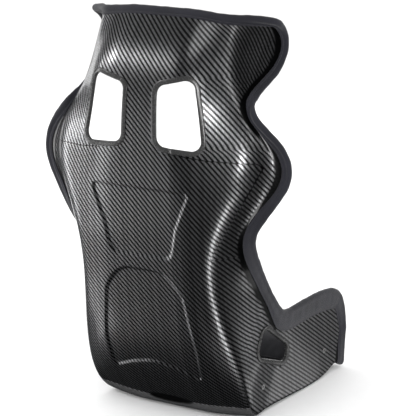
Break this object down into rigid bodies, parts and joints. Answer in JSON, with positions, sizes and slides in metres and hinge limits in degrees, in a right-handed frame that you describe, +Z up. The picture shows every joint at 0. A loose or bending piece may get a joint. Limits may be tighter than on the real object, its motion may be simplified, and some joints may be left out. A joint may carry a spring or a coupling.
{
  "type": "racing seat",
  "caption": "Fixed-back racing bucket seat: carbon shell with head and shoulder wings, padded bound edges, belt slots, side mounts and loose pads.",
  "frame": {"origin": "on the floor under the seat, at the middle of its bounding box", "axes": "+Z up, the seat's front faces -Y, +X is the left side of the seat seen from behind the seat"},
  "size_m": [0.6236, 0.5923, 0.9145],
  "materials": {
    "carbon": "twill carbon laminate under a glossy clear coat",
    "trim_fabric": "charcoal knitted fire-resistant fabric over a thin foam",
    "pad_fabric": "black fire-resistant fabric over foam",
    "rubber": "satin black edge trim",
    "steel": "zinc-plated threaded inserts",
    "washer_steel": "dark plated steel",
    "hook_tape": "black nylon hook tape"
  },
  "bodies": {
    "root": {"shell": "carbon", "head_binding": "trim_fabric", "side_binding_left": "trim_fabric", "side_binding_right": "trim_fabric", "front_binding": "trim_fabric", "shoulder_slot_trim_left": "rubber", "shoulder_slot_trim_right": "rubber", "lap_slot_trim_left": "rubber", "lap_slot_trim_right": "rubber", "crotch_slot_trim": "rubber", "side_inserts_left": "steel", "side_inserts_right": "steel", "insert_washers_left": "washer_steel", "insert_washers_right": "washer_steel", "headrest_pad": "pad_fabric", "head_wing_pad_left": "pad_fabric", "head_wing_pad_right": "pad_fabric", "shoulder_pad_left": "pad_fabric", "shoulder_pad_right": "pad_fabric", "upper_back_pad": "pad_fabric", "lumbar_pad": "pad_fabric", "rib_pad_left": "pad_fabric", "rib_pad_right": "pad_fabric", "seat_cushion": "pad_fabric", "leg_cushion": "pad_fabric", "thigh_pad_left": "pad_fabric", "thigh_pad_right": "pad_fabric", "back_hook_tapes": "hook_tape", "wing_hook_tapes": "hook_tape", "seat_hook_tapes": "hook_tape"}
  },
  "joints": []
}
